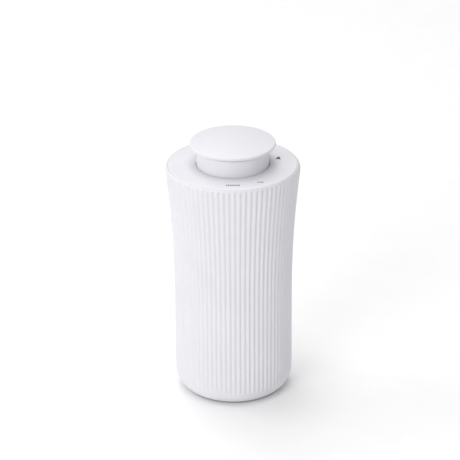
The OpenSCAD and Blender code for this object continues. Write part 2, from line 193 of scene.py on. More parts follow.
def moulded(name, colour, rough, grain, drift=0.02, specular=0.4):
    """Injection-moulded plastic: spark-eroded grain, faint flow clouds, uneven sheen."""
    mat, tree, shader = new_material(name)
    clouds = noise(tree, 35, 3)
    dark, light = tint(colour, 1 - drift), tint(colour, 1 + drift / 2)
    shade = ramp(tree, clouds.outputs["Fac"], [(0.3, dark), (0.7, light)])
    tree.links.new(shade.outputs["Color"], shader.inputs["Base Color"])
    smudge = noise(tree, 120, 5)
    sheen = ramp(tree, smudge.outputs["Fac"], [(0.25, grey(rough - 0.05)), (0.75, grey(rough + 0.06))])
    tree.links.new(sheen.outputs["Color"], shader.inputs["Roughness"])
    shader.inputs["Specular IOR Level"].default_value = specular
    pits = noise(tree, 5200, 2, 0.6)
    add_bump(tree, shader, pits.outputs["Fac"], grain, 0.00004)
    return mat


def metal(name, colour, rough, stretch=(1, 1, 1), scale=900):
    """Machined or drawn metal with fine marks along one direction."""
    mat, tree, shader = new_material(name)
    coords = tree.nodes.new("ShaderNodeTexCoord")
    mapping = tree.nodes.new("ShaderNodeMapping")
    mapping.inputs["Scale"].default_value = stretch
    lines = tree.nodes.new("ShaderNodeTexNoise")
    lines.inputs["Scale"].default_value = scale
    lines.inputs["Detail"].default_value = 5
    tree.links.new(coords.outputs["Object"], mapping.inputs["Vector"])
    tree.links.new(mapping.outputs["Vector"], lines.inputs["Vector"])
    shade = ramp(tree, lines.outputs["Fac"], [(0.3, tint(colour, 0.82)), (0.7, colour)])
    sheen = ramp(tree, lines.outputs["Fac"], [(0.3, grey(rough + 0.12)), (0.7, grey(rough - 0.05))])
    tree.links.new(shade.outputs["Color"], shader.inputs["Base Color"])
    tree.links.new(sheen.outputs["Color"], shader.inputs["Roughness"])
    shader.inputs["Metallic"].default_value = 1.0
    add_bump(tree, shader, lines.outputs["Fac"], 0.15, 0.00003)
    return mat


def ink(name, colour):
    """Pad-printed ink, a little uneven in density."""
    mat, tree, shader = new_material(name)
    density = noise(tree, 2600, 3)
    shade = ramp(tree, density.outputs["Fac"], [(0.3, tint(colour, 0.85)), (0.7, tint(colour, 1.15))])
    tree.links.new(shade.outputs["Color"], shader.inputs["Base Color"])
    shader.inputs["Roughness"].default_value = 0.6
    add_bump(tree, shader, density.outputs["Fac"], 0.1, 0.00002)
    return mat


def fleece(name, colour):
    """Needled fibre fleece: tangled strands over soft clumps."""
    mat, tree, shader = new_material(name)
    strands = noise(tree, 1500, 8, 0.75)
    strands.inputs["Distortion"].default_value = 1.6
    clumps = noise(tree, 160, 3)
    shade = ramp(tree, strands.outputs["Fac"], [(0.35, tint(colour, 0.72)), (0.62, colour)])
    tree.links.new(shade.outputs["Color"], shader.inputs["Base Color"])
    total = tree.nodes.new("ShaderNodeMath")
    total.operation = "ADD"
    tree.links.new(strands.outputs["Fac"], total.inputs[0])
    tree.links.new(clumps.outputs["Fac"], total.inputs[1])
    shader.inputs["Roughness"].default_value = 0.95
    shader.inputs["Sheen Weight"].default_value = 0.3
    add_bump(tree, shader, total.outputs["Value"], 0.7, 0.0003)
    return mat


def grains(name, colour, scale=900, depth=0.0006):
    """Granules held in a felt: rounded cells with painted shade, each lighter at its centre and darker
    towards its edges.
    """
    mat, tree, shader = new_material(name)
    coords = tree.nodes.new("ShaderNodeTexCoord")
    cells = tree.nodes.new("ShaderNodeTexVoronoi")
    cells.inputs["Scale"].default_value = scale
    tree.links.new(coords.outputs["Object"], cells.inputs["Vector"])
    # Painted shade: each cell is lighter at its centre and darker towards its edges, as light falls on
    # rounded granules
    shade = ramp(tree, cells.outputs["Distance"], [(0.1, tint(colour, 1.8)), (0.7, tint(colour, 0.5))])
    tree.links.new(shade.outputs["Color"], shader.inputs["Base Color"])
    shader.inputs["Roughness"].default_value = 0.75
    add_bump(tree, shader, cells.outputs["Distance"], -0.8, depth)
    return mat


def weave(name, colour, pitch):
    """Woven mesh seen as crossing threads."""
    mat, tree, shader = new_material(name)
    coords = tree.nodes.new("ShaderNodeTexCoord")
    bands = []
    bands_per_unit = 0.314
    for direction in ("X", "Y"):
        wave = tree.nodes.new("ShaderNodeTexWave")
        wave.bands_direction = direction
        wave.inputs["Scale"].default_value = bands_per_unit / pitch
        tree.links.new(coords.outputs["Object"], wave.inputs["Vector"])
        bands.append(wave)
    both = tree.nodes.new("ShaderNodeMath")
    both.operation = "MAXIMUM"
    for i, wave in enumerate(bands):
        tree.links.new(wave.outputs["Fac"], both.inputs[i])
    shade = ramp(tree, both.outputs["Value"], [(0.35, tint(colour, 0.15)), (0.75, colour)])
    tree.links.new(shade.outputs["Color"], shader.inputs["Base Color"])
    shader.inputs["Roughness"].default_value = 0.6
    add_bump(tree, shader, both.outputs["Value"], 0.8, 0.0003)
    return mat


def board(name, colour):
    """Circuit board: solder mask over faint copper tracks."""
    mat, tree, shader = new_material(name)
    coords = tree.nodes.new("ShaderNodeTexCoord")
    tracks = tree.nodes.new("ShaderNodeTexBrick")
    tracks.inputs["Scale"].default_value = 300
    tracks.inputs["Mortar Size"].default_value = 0.03
    tracks.inputs["Color1"].default_value = (*colour, 1)
    tracks.inputs["Color2"].default_value = (*tint(colour, 0.8), 1)
    tracks.inputs["Mortar"].default_value = (*tint(colour, 1.9), 1)
    tree.links.new(coords.outputs["Object"], tracks.inputs["Vector"])
    tree.links.new(tracks.outputs["Color"], shader.inputs["Base Color"])
    shader.inputs["Roughness"].default_value = 0.3
    shader.inputs["Coat Weight"].default_value = 0.4
    add_bump(tree, shader, tracks.outputs["Fac"], 0.3, 0.00005)
    return mat


WHITE = (0.78, 0.773, 0.81)
LOOKS = {
    "white_shell": moulded("Moulded_white", WHITE, 0.5, 0.3),
    "white_deck": moulded("Deck_white", WHITE, 0.46, 0.22),
    "white_cap": moulded("Cap_white", WHITE, 0.44, 0.2),
    # Painted light: the neck's white is made 5% lighter than the rest to make up for the shade the cap throws
    # on it
    "white_neck": moulded("Neck_white_painted_light", tint(WHITE, 1.05), 0.5, 0.25),
    "white_cover": moulded("Cover_white", WHITE, 0.52, 0.35),
    "white_core": moulded("Core_white", (0.74, 0.74, 0.75), 0.5, 0.3),
    "dark_print": ink("Print_grey", (0.085, 0.085, 0.095)),
    "clear_plastic": moulded("Frosted_window", (0.88, 0.89, 0.92), 0.3, 0.15, specular=0.6),
    "grey_trim": moulded("Trim_grey", (0.52, 0.53, 0.55), 0.42, 0.25),
    "grey_plastic": moulded("Chassis_grey", (0.42, 0.43, 0.45), 0.5, 0.4, 0.05),
    "black_plastic": moulded("Moulded_black", (0.02, 0.02, 0.022), 0.42, 0.4, 0.2),
    "plated_steel": metal("Plated_steel", (0.66, 0.65, 0.62), 0.24, (1, 1, 6)),
    "screw_steel": metal("Turned_steel", (0.52, 0.53, 0.55), 0.28, (1, 1, 5)),
    "spring_steel": metal("Spring_steel", (0.5, 0.5, 0.52), 0.25, (3, 3, 1)),
    "brass_contact": metal("Contact_brass", (0.8, 0.6, 0.26), 0.25),
    "copper_winding": metal("Copper_winding", (0.7, 0.3, 0.12), 0.3, (1, 1, 9), 700),
    "dark_magnet": metal("Bonded_magnet", (0.09, 0.09, 0.1), 0.5, (1, 1, 2)),
    "green_board": board("Circuit_board", (0.02, 0.13, 0.06)),
    "blue_sleeve": moulded("Cell_sleeve", (0.03, 0.12, 0.38), 0.25, 0.05, 0.06, 0.5),
    "red_wire": moulded("Lead_red", (0.45, 0.02, 0.015), 0.45, 0.1, 0.08),
    "black_wire": moulded("Lead_black", (0.015, 0.015, 0.015), 0.45, 0.1, 0.2),
    "black_foam": grains("Foam_black", (0.03, 0.03, 0.033), 2400, 0.0002),
    "white_fleece": fleece("Fleece_white", (0.78, 0.78, 0.76)),
    "filter_paper": fleece("Filter_paper", (0.82, 0.8, 0.72)),
    "black_carbon": grains("Carbon_grains", (0.03, 0.03, 0.03)),
    "grey_mesh": weave("Woven_mesh", (0.16, 0.17, 0.18), 0.7),
    "grey_rubber": moulded("Seal_rubber", (0.2, 0.21, 0.22), 0.7, 0.3, 0.08, 0.25),
    "grey_rubber_feet": moulded("Foot_rubber", (0.16, 0.165, 0.175), 0.75, 0.4, 0.1, 0.25),
}


# ---------------------------------------------------------------- mesh helpers

def soften(obj, angle=35.0):
    """Smooth shading, with creases kept where faces meet at more than the angle in degrees."""
    mesh = obj.data
    for polygon in mesh.polygons:
        polygon.use_smooth = True
    mesh.set_sharp_from_angle(angle=math.radians(angle))


def to_object(bm, name, slot, body, *replaced):
    """Turns a mesh into a piece that rides on a body and stands for the replaced nodes."""
    bmesh.ops.recalc_face_normals(bm, faces=bm.faces)
    mesh = bpy.data.meshes.new(name)
    bm.to_mesh(mesh)
    bm.free()
    obj = bpy.data.objects.new(name, mesh)
    bpy.context.scene.collection.objects.link(obj)
    mesh.materials.append(LOOKS[slot])
    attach(obj, body)
    if replaced:
        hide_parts(*replaced)
    return obj


def bridge(bm, rings, closed=False):
    """Quads between rings of equal length, and from the last ring to the first when closed."""
    for ring, ahead in zip(rings, rings[1:] + rings[:1] if closed else rings[1:]):
        for k in range(len(ring)):
            n = (k + 1) % len(ring)
            bm.faces.new((ring[k], ring[n], ahead[n], ahead[k]))


def cap_ends(bm, rings):
    """Closes the first and the last ring with one face each."""
    bm.faces.new(rings[0][::-1])
    bm.faces.new(rings[-1])


def circle(bm, r, z, columns, centre=(0.0, 0.0)):
    """Level ring of points, in mm."""
    angles = [2 * math.pi * k / columns for k in range(columns)]
    return [bm.verts.new(((centre[0] + r * math.cos(a)) * MM, (centre[1] + r * math.sin(a)) * MM, z * MM))
            for a in angles]


def lathe(bm, profile, columns, radius=None):
    """Closed (r, z) outline in mm turned about Z; radius(r, z, angle) may shape each point."""
    rings = []
    for r, z in profile:
        ring = []
        for k in range(columns):
            a = 2 * math.pi * k / columns
            rr = radius(r, z, a) if radius else r
            ring.append(bm.verts.new((rr * math.cos(a) * MM, rr * math.sin(a) * MM, z * MM)))
        rings.append(ring)
    bridge(bm, rings, closed=True)


def dome(bm, profile, columns):
    """Open (r, z) outline whose two ends are on the axis, turned about Z."""
    rings = [circle(bm, r, z, columns) for r, z in profile[1:-1]]
    bridge(bm, rings)
    for ring, end in ((rings[0], profile[0]), (rings[-1], profile[-1])):
        tip = bm.verts.new((0, 0, end[1] * MM))
        for k in range(columns):
            bm.faces.new((ring[k], ring[(k + 1) % columns], tip))


def rounded(profile, radius, steps):
    """Rounds each corner of a closed (r, z) outline, apart from nearly straight ones."""
    straight_enough = math.radians(155)
    out = []
    for i, here in enumerate(profile):
        before, after = Vector(profile[i - 1]), Vector(profile[(i + 1) % len(profile)])
        here = Vector(here)
        back, ahead = before - here, after - here
        turn = back.angle(ahead, math.pi)
        if turn > straight_enough or min(back.length, ahead.length) < 1e-6:
            out.append(tuple(here))
            continue
        cut = min(radius, back.length * 0.45, ahead.length * 0.45)
        start, end = here + back.normalized() * cut, here + ahead.normalized() * cut
        for s in range(steps + 1):
            t = s / steps
            out.append(tuple(start * (1 - t) ** 2 + here * 2 * t * (1 - t) + end * t * t))
    return out


def block(bm, lo, hi, turn=0.0, bevel=0.2):
    """Bevelled box from lo to hi in mm, then turned about Z by degrees."""
    made = bmesh.ops.create_cube(bm, size=1.0)["verts"]
    centre = [(a + b) / 2 for a, b in zip(lo, hi)]
    size = [b - a for a, b in zip(lo, hi)]
    for v in made:
        v.co = Vector([(centre[i] + v.co[i] * size[i]) * MM for i in range(3)])
    edges = {e for v in made for e in v.link_edges}
    made = bmesh.ops.bevel(bm, geom=list(edges), offset=bevel * MM, segments=2, affect="EDGES",
                           profile=0.5, clamp_overlap=True)["verts"]
    spin(made, turn)


def spin(verts, degrees):
    """Turns points about Z."""
    a = math.radians(degrees)
    for v in verts:
        x, y = v.co.x, v.co.y
        v.co.x, v.co.y = x * math.cos(a) - y * math.sin(a), x * math.sin(a) + y * math.cos(a)


def rod(bm, centre, radius, z0, z1, bevel=0.15, columns=32):
    """Upright round rod with bevelled ends."""
    profile = ((radius - bevel, z0), (radius, z0 + bevel), (radius, z1 - bevel), (radius - bevel, z1))
    rings = [circle(bm, r, z, columns, centre) for r, z in profile]
    bridge(bm, rings)
    cap_ends(bm, rings)


def slot_ring(bm, width, height, y, z):
    """Slot outline with round ends, upright in X and Z at depth y."""
    steps = 12
    outline = []
    for side, start in ((1, -90), (-1, 90)):
        outline += arc((side * (width - height) / 2, z), height / 2, start, start + 180, steps)
    return [bm.verts.new((x * MM, y * MM, zz * MM)) for x, zz in outline]


def slot_prism(bm, width, height, y0, y1, z):
    """Solid slot from depth y0 to y1."""
    rings = [slot_ring(bm, width, height, y, z) for y in (y0, y1)]
    bridge(bm, rings)
    cap_ends(bm, rings)


def slot_frame(bm, outer, inner, section, z):
    """Frame between two slots; section is (share of the way in, y), closed."""
    rings = []
    for share, y in section:
        width, height = (a + (b - a) * share for a, b in zip(outer, inner))
        rings.append(slot_ring(bm, width, height, y, z))
    bridge(bm, rings, closed=True)


def tube(bm, points, radius, sides):
    """Round thread through points in mm, its rings upright across the way it runs."""
    rings = []
    for i, here in enumerate(points):
        ahead = Vector(points[min(i + 1, len(points) - 1)]) - Vector(points[max(i - 1, 0)])
        side = ahead.cross(Vector((0, 0, 1))).normalized()
        rise = side.cross(ahead).normalized()
        rings.append([bm.verts.new((Vector(here) + radius * (math.cos(a) * side + math.sin(a) * rise)) * MM)
                      for a in (2 * math.pi * k / sides for k in range(sides))])
    bridge(bm, rings)
    cap_ends(bm, rings)


def carve(obj, build):
    """Cuts the solids that build(bm) makes out of obj."""
    bm = bmesh.new()
    build(bm)
    bmesh.ops.recalc_face_normals(bm, faces=bm.faces)
    mesh = bpy.data.meshes.new("cutter")
    bm.to_mesh(mesh)
    bm.free()
    cutter = bpy.data.objects.new("cutter", mesh)
    bpy.context.scene.collection.objects.link(cutter)
    mod = obj.modifiers.new("cut", "BOOLEAN")
    mod.operation = "DIFFERENCE"
    mod.solver = "MANIFOLD"
    mod.object = cutter
    bpy.context.view_layer.update()
    evaluated = obj.evaluated_get(bpy.context.evaluated_depsgraph_get())
    result = bpy.data.meshes.new_from_object(evaluated)
    obj.modifiers.remove(mod)
    old = obj.data
    obj.data = result
    bpy.data.meshes.remove(old)
    bpy.data.objects.remove(cutter)
    bpy.data.meshes.remove(mesh)


# ---------------------------------------------------------------- casing

# Control points of the flare, from the straight side up to the shoulder
FLARE = (
    (WAIST_R, DECK_Z - 85),
    (WAIST_R, DECK_Z - 47),
    (WAIST_R + 2.2, DECK_Z - 27),
    (RIM_R, DECK_Z - SHOULDER_R),
)
FLARE_STEPS = 24
FLARE_POINTS = [bezier(FLARE, i / FLARE_STEPS) for i in range(FLARE_STEPS + 1)]

# The foot is FOOT_A degrees of an ellipse whose half-axes are FOOT_W and FOOT_H
FOOT_W, FOOT_H, FOOT_A = 9.6, 14.0, 68.0
FOOT_STEPS = 18
FOOT_Z = EDGE_Z + FOOT_H * math.sin(math.radians(FOOT_A))


def side_radius(z):
    """Radius of the side as if the shoulder and the foot weren't rounded."""
    if z <= FLARE[0][1]:
        return WAIST_R
    for (r0, z0), (r1, z1) in zip(FLARE_POINTS, FLARE_POINTS[1:]):
        if z <= z1:
            return r0 + (r1 - r0) * (z - z0) / (z1 - z0)
    return RIM_R


def fluted(r, z, angle):
    """Lowers a point of the outside into the flutes, with softened edges."""
    groove = 0.5 + 0.5 * math.cos(FLUTES * (angle - math.radians(GROOVE_TURN)))
    soft = 0.16
    gap = r - (side_radius(z) - FLUTE_DEPTH * groove)
    if gap < -4 * soft:
        return r
    lift = soft * 0.02
    return r - soft * math.log1p(math.exp(gap / soft)) + lift


def casing():
    """Fluted shell with its flare, foot, seam, inner ledge, port pocket, air slots and cover stops."""
    foot = []
    for i in range(FOOT_STEPS + 1):
        a = math.radians(FOOT_A - i * FOOT_A / FOOT_STEPS)
        foot.append((WAIST_R - FOOT_W + FOOT_W * math.cos(a), FOOT_Z - FOOT_H * math.sin(a)))
    straight_steps = 6
    rise = FLARE[0][1] - FOOT_Z
    straight = [(WAIST_R, FOOT_Z + rise * i / straight_steps) for i in range(1, straight_steps)]
    seam_angle, lip_round = 57, 0.12
    shoulder = arc((DECK_R, DECK_Z - SHOULDER_R), SHOULDER_R, 0, seam_angle, 13)
    lip = arc((SEAM_R + 0.15, DECK_Z - 0.52), lip_round, seam_angle, 180, 4)
    outside = foot + straight + FLARE_POINTS[:-1] + shoulder + lip
    bore = WAIST_R - FLUTE_DEPTH - WALL
    seat_z = DECK_Z - 2.5
    ledge_r, ledge_t = 28.6, 2.5
    inner = [(r - FLUTE_DEPTH - WALL, z) for r, z in FLARE_POINTS if z < FLANGE_TOP - 3]
    inside = [(SEAM_R, seat_z), (DECK_R - 1.6, seat_z), (DECK_R - 1.6, seat_z - 2)] + inner[::-1]
    inside += [(bore, LEDGE_Z + 0.01), (ledge_r, LEDGE_Z)]
    inside += [(ledge_r, LEDGE_Z - ledge_t), (bore, LEDGE_Z - ledge_t)]
    inside += [(bore, COVER_TOP + 4.5), (OPEN_R + 1.6, COVER_TOP)]
    inside += [(OPEN_R, COVER_TOP - 0.3), (OPEN_R, EDGE_Z + 0.2)]
    grooved = set(outside[:-1])
    bm = bmesh.new()
    columns = FLUTES * 10
    lathe(bm, outside + inside, columns, lambda r, z, a: fluted(r, z, a) if (r, z) in grooved else r)
    obj = to_object(bm, "Fluted_casing", "white_shell", HOUSING, "ribbed_shell")

    def pocket(cut):
        slot_prism(cut, TRIM_OUT[0] + 0.2, TRIM_OUT[1] + 0.2, 34.0, RIM_R + 3, PORT_Z)
        slot_prism(cut, *PORT_HOLE, 28.0, 34.5, PORT_Z)

    def air_slots(cut):
        for z in INTAKE_ROWS:
            for i in range(INTAKE_N):
                turn = 90 + GROOVE_TURN + (i - (INTAKE_N - 1) / 2) * 360 / FLUTES
                lo, hi = (WAIST_R - 5, -INTAKE_W / 2, z), (WAIST_R + 3, INTAKE_W / 2, z + INTAKE_H)
                block(cut, lo, hi, turn, 0.25)

    carve(obj, pocket)
    carve(obj, air_slots)
    soften(obj, 40)
    for turn in (30, 150, 270):
        stop = bmesh.new()
        low = COVER_TOP + 0.05
        block(stop, (OPEN_R - 0.8, -3, low), (OPEN_R + 2.6, 3, low + 4), turn)
        to_object(stop, "Cover_stop_%d" % turn, "white_shell", HOUSING)


def deck():
    """Deck plate with the inner part of the shoulder, its posts and the indicator window."""
    low = DECK_Z - 2.4
    edge = SEAM_R - 0.14
    hole_round = 0.2
    profile = [(HOLE_R, low), (edge, low), (edge, DECK_Z - 0.5)]
    profile += arc((DECK_R, DECK_Z - SHOULDER_R), SHOULDER_R - 0.02, 60.5, 90, 8)
    profile += arc((HOLE_R + hole_round, DECK_Z - 0.22), hole_round, 90, 180, 6)
    bm = bmesh.new()
    lathe(bm, profile, 256)
    obj = to_object(bm, "Top_deck", "white_deck", HOUSING, "deck_plate")
    lo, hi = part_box("light_pipe")
    centre = ((lo[0] + hi[0]) / 2 / MM, (lo[1] + hi[1]) / 2 / MM)
    carve(obj, lambda cut: rod(cut, centre, 1.0, low - 1, DECK_Z + 1, 0.01))
    soften(obj, 40)
    for k in range(3):
        a = math.radians(30 + 120 * k)
        post = bmesh.new()
        at = (DECK_SCREWS_AT * math.cos(a), DECK_SCREWS_AT * math.sin(a))
        rod(post, at, 2.6, FLANGE_TOP, low + 0.01)
        soften(to_object(post, "Deck_post_%d" % k, "white_deck", HOUSING))
    window = bmesh.new()
    rod(window, centre, 0.9, low, DECK_Z - 0.02, 0.12, 40)
    soften(to_object(window, "Indicator_window", "clear_plastic", HOUSING, "light_pipe"))


def flat_shape(bm, outline, z0, z1):
    """Upright prism on an (x, y) outline."""
    rings = [[bm.verts.new((x * MM, y * MM, z * MM)) for x, y in outline] for z in (z0, z1)]
    bridge(bm, rings)
    cap_ends(bm, rings)


DOTS_AT = (16.0, -27.7)
POINTER_AT = (27.0, 7.4)


def marks():
    """Printed dashes, dots and pointer, as thin films of ink on the deck."""
    bm = bmesh.new()
    z0, z1 = DECK_Z + 0.002, DECK_Z + 0.02
    dash_r, dash_pitch, dash_ends = 0.34, 1.2, (-32.6, -31.4)
    for i in range(-3, 4):
        x = dash_pitch * i
        pill = arc((x, dash_ends[0]), dash_r, 180, 360, 8) + arc((x, dash_ends[1]), dash_r, 0, 180, 8)
        flat_shape(bm, pill, z0, z1)
    dot_r, dot_pitch = 0.55, 1.3
    for i in (-1, 0, 1):
        flat_shape(bm, arc((DOTS_AT[0] + dot_pitch * i, DOTS_AT[1]), dot_r, 0, 345, 23), z0, z1)
    turn = math.radians(-8)
    corner_r = 0.22
    corners = []
    for (x, y), facing in zip(((0, 1.95), (-1.4, -1.6), (1.4, -1.6)), (90, 220, 320)):
        tip = (POINTER_AT[0] + x * math.cos(turn) - y * math.sin(turn),
               POINTER_AT[1] + x * math.sin(turn) + y * math.cos(turn))
        corners += arc(tip, corner_r, facing - 68, facing + 68, 5)
    flat_shape(bm, corners, z0, z1)
    to_object(bm, "Printed_marks", "dark_print", HOUSING, "deck_marks")


# ---------------------------------------------------------------- knob

CAP_T = 1.6
RIM_ROUND = 1.05
DOME_SLOPE = 11.0
RIM_AT = CAP_R - RIM_ROUND
DOME_R = RIM_AT / math.sin(math.radians(DOME_SLOPE)) + RIM_ROUND
DOME_Z = CAP_TOP - DOME_R
RIM_Z = DOME_Z + (DOME_R - RIM_ROUND) * math.cos(math.radians(DOME_SLOPE))


def cap():
    """Mushroom cap: shallow dome with a dimple, full-round rim, thin roof and boss."""
    floor = bottom("knob_cap")
    dimple_depth, dimple_r = 0.2, 0.8
    dome_arc = [(r, z - dimple_depth * math.exp(-((r / dimple_r) ** 2)))
                for r, z in arc((0, DOME_Z), DOME_R, 90, 90 - DOME_SLOPE, 44)]
    rim = arc((RIM_AT, RIM_Z), RIM_ROUND, 90 - DOME_SLOPE, -90, 20)[1:]
    roof = [p for p in arc((0, DOME_Z), DOME_R - CAP_T, 91 - DOME_SLOPE, 90, 14) if p[0] > 6.0]
    boss = [(5.6, roof[-1][1] + 0.02), (5.6, floor + 1.2), (8.4, floor + 1.2), (8.4, floor), (0.0, floor)]
    bm = bmesh.new()
    dome(bm, dome_arc + rim + [(RIM_AT - 1.2, RIM_Z - RIM_ROUND)] + roof + boss, 224)
    soften(to_object(bm, "Mushroom_cap", "white_cap", KNOB, "knob_cap"), 32)
    for k in range(4):
        a = math.radians(45 + 90 * k)
        screw_boss = bmesh.new()
        rod(screw_boss, (TAB_AT * math.cos(a), TAB_AT * math.sin(a)), 2.1, TAB_Z + 1.6, CAP_TOP - 2.1)
        soften(to_object(screw_boss, "Cap_boss_%d" % k, "white_cap", KNOB))


def neck():
    """Hollow neck with the lip that holds it under the deck, and its four screw tabs."""
    low, high = bottom("knob_neck"), top("knob_neck")
    lip_r, lip_top = reach("knob_neck"), low + 1.2
    inner = NECK_R - NECK_T
    profile = [(inner, low), (lip_r, low), (lip_r, lip_top), (NECK_R, lip_top), (NECK_R, high), (inner, high)]
    bm = bmesh.new()
    lathe(bm, rounded(profile, 0.35, 5), 192)
    soften(to_object(bm, "Hollow_neck", "white_neck", KNOB, "knob_neck"), 40)
    for k in range(4):
        tab = bmesh.new()
        block(tab, (TAB_AT - 2.6, -3, TAB_Z), (inner + 0.2, 3, TAB_Z + 1.5), 45 + 90 * k, 0.3)
        to_object(tab, "Neck_tab_%d" % k, "white_neck", KNOB)


def spring():
    """Smooth helix in place of the faceted one."""
    lo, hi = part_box("knob_spring")
    wire, coil_r, turns, steps = 0.35, 7.2, 4, 36
    z0, z1 = lo[2] / MM + wire, hi[2] / MM - wire
    curve = bpy.data.curves.new("helix", "CURVE")
    curve.dimensions = "3D"
    curve.bevel_depth = wire * MM
    curve.bevel_resolution = 3
    curve.use_fill_caps = True
    spline = curve.splines.new("POLY")
    count = turns * steps
    spline.points.add(count)
    for i in range(count + 1):
        a = 2 * math.pi * i / steps
        z = z0 + (z1 - z0) * i / count
        spline.points[i].co = (coil_r * math.cos(a) * MM, coil_r * math.sin(a) * MM, z * MM, 1)
    maker = bpy.data.objects.new("helix", curve)
    bpy.context.scene.collection.objects.link(maker)
    bpy.context.view_layer.update()
    mesh = bpy.data.meshes.new_from_object(maker.evaluated_get(bpy.context.evaluated_depsgraph_get()))
    bpy.data.objects.remove(maker)
    bm = bmesh.new()
    bm.from_mesh(mesh)
    bpy.data.meshes.remove(mesh)
    obj = to_object(bm, "Return_spring", "spring_steel", HOUSING, "knob_spring")
    soften(obj, 60)
    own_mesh(obj)


def screws(node, name, body, at, count, start):
    """Pan-head screws driven upwards: rounded head, cross recess and ridged thread."""
    low, high = bottom(node), top(node)
    head, pitch = low + 1.4, 0.45
    root_r, crest_r = 0.78, 0.95
    profile = [(0.0, low + 0.02), (1.3, low), (1.7, low + 0.15), (1.9, low + 0.5), (1.9, head - 0.1)]
    profile += [(1.8, head), (0.8, head), (0.8, head + 0.2)]
    ridges = int((high - head - 0.9) / pitch)
    for i in range(ridges):
        z = head + 0.3 + pitch * i
        profile += [(root_r, z), (crest_r, z + 0.18), (crest_r, z + 0.24), (root_r, z + 0.42)]
    profile += [(0.75, high - 0.35), (0.3, high - 0.02), (0.0, high)]
    bm = bmesh.new()
    for k in range(count):
        made = bmesh.new()
        dome(made, profile, 40)
        a = math.radians(start + 360 * k / count)
        bmesh.ops.translate(made, verts=made.verts, vec=(at * math.cos(a) * MM, at * math.sin(a) * MM, 0))
        part = bpy.data.meshes.new("part")
        made.to_mesh(part)
        made.free()
        bm.from_mesh(part)
        bpy.data.meshes.remove(part)
    obj = to_object(bm, name, "screw_steel", body, node)

    def recess(cut):
        for k in range(count):
            a = math.radians(start + 360 * k / count)
            x, y = at * math.cos(a), at * math.sin(a)
            for dx, dy in ((0.95, 0.19), (0.19, 0.95)):
                lift = 0.002 if dx > dy else 0.0
                block(cut, (x - dx, y - dy, low - 0.5), (x + dx, y + dy, low + 0.75 + lift), bevel=0.05)

    carve(obj, recess)
    soften(obj, 40)


# ---------------------------------------------------------------- charging port

def depth_range(node):
    """Front and back of a node along Y."""
    lo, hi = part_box(node)
    return lo[1] / MM, hi[1] / MM


def frame_section(thick, near, far, radius, steps):
    """Section for slot_frame: a rounded strip of that thickness from near to far."""
    corners = [(0, near), (0, far), (thick, far), (thick, near)]
    return [(share / thick, y) for share, y in rounded(corners, radius, steps)]


def port():
    """Charging port: trim, metal shell, backing, tongue and two rows of contacts."""
    z = PORT_Z
    trim = bmesh.new()
    slot_frame(trim, TRIM_OUT, TRIM_IN, frame_section(TRIM_T, *depth_range("usb_bezel"), 0.4, 4), z)
    soften(to_object(trim, "Port_trim", "grey_trim", HOUSING, "usb_bezel"), 50)
    near, far = depth_range("usb_port")
    inside = [size - 2 * PORT_SHELL_T for size in PORT_SHELL]
    shell = bmesh.new()
    slot_frame(shell, PORT_SHELL, inside, frame_section(PORT_SHELL_T, near, far, 0.12, 3), z)
    soften(to_object(shell, "Port_shell", "plated_steel", HOUSING, "usb_port"), 50)
    backing = bmesh.new()
    slot_prism(backing, inside[0] - 0.02, inside[1] - 0.02, near, near + 3.6, z)
    soften(to_object(backing, "Port_backing", "black_plastic", HOUSING))
    half_w, half_t = 3.3, 0.35
    tongue = bmesh.new()
    block(tongue, (-half_w, near + 3.5, z - half_t), (half_w, far - 1.0, z + half_t), bevel=0.12)
    to_object(tongue, "Port_tongue", "black_plastic", HOUSING)
    per_side, pitch, contact_w, contact_t = 8, 0.75, 0.14, 0.04
    contacts = bmesh.new()
    for i in range(per_side):
        x = (i - (per_side - 1) / 2) * pitch
        for face in (z - 0.36, z + 0.36):
            lo, hi = (x - contact_w, near + 4, face - contact_t), (x + contact_w, far - 1.5, face + contact_t)
            block(contacts, lo, hi, bevel=0.02)
    to_object(contacts, "Port_contacts", "brass_contact", HOUSING)


# ---------------------------------------------------------------- filter tray

def cover():
    """Bottom cover: air slots, finger recess with its bar, seal groove and seats for the pads."""
    low, high, post_top = bottom("bottom_cover"), COVER_TOP, top("bottom_cover")
    edge = reach("bottom_cover")
    roof = post_top - 2.2
    step_z, seal_z = top("foot_pads") + 0.05, bottom("cover_seal") - 0.05
    step_r, groove_r, hub_r, hub_top = PAD_IN - 0.1, edge - 0.8, GRIP_R + 1.3, roof + 1.3
    profile = [(0.0, roof), (GRIP_R - 0.6, roof), (GRIP_R, roof - 0.6), (GRIP_R, low + 0.4)]
    profile += [(GRIP_R + 0.4, low), (step_r, low), (step_r, step_z), (edge, step_z)]
    profile += [(edge, seal_z), (groove_r, seal_z), (groove_r, seal_z + 1), (edge, seal_z + 1)]
    profile += [(edge, high - 0.15), (edge - 0.15, high), (hub_r + 0.4, high), (hub_r, high + 0.4)]
    profile += [(hub_r, hub_top - 0.4), (hub_r - 0.4, hub_top), (0.0, hub_top)]
    bm = bmesh.new()
    dome(bm, profile, 240)
    obj = to_object(bm, "Slotted_cover", "white_cover", TRAY, "bottom_cover")

    slot_n, slot_in, slot_out = 30, 15, 23.4

    def slots(cut):
        for k in range(slot_n):
            block(cut, (slot_in, -1, low - 1), (slot_out, 1, high + 1), 360 / slot_n * k, 0.45)

    carve(obj, slots)
    soften(obj, 35)
    bar = bmesh.new()
    block(bar, (-GRIP_R - 0.1, -2, low), (GRIP_R + 0.1, 2, roof + 0.05), bevel=0.5)
    to_object(bar, "Grip_bar", "white_cover", TRAY)
    for k in range(4):
        a = math.radians(45 + 90 * k)
        post = bmesh.new()
        rod(post, (POST_AT * math.cos(a), POST_AT * math.sin(a)), 1.4, high - 0.1, post_top)
        soften(to_object(post, "Cover_post_%d" % k, "white_cover", TRAY))


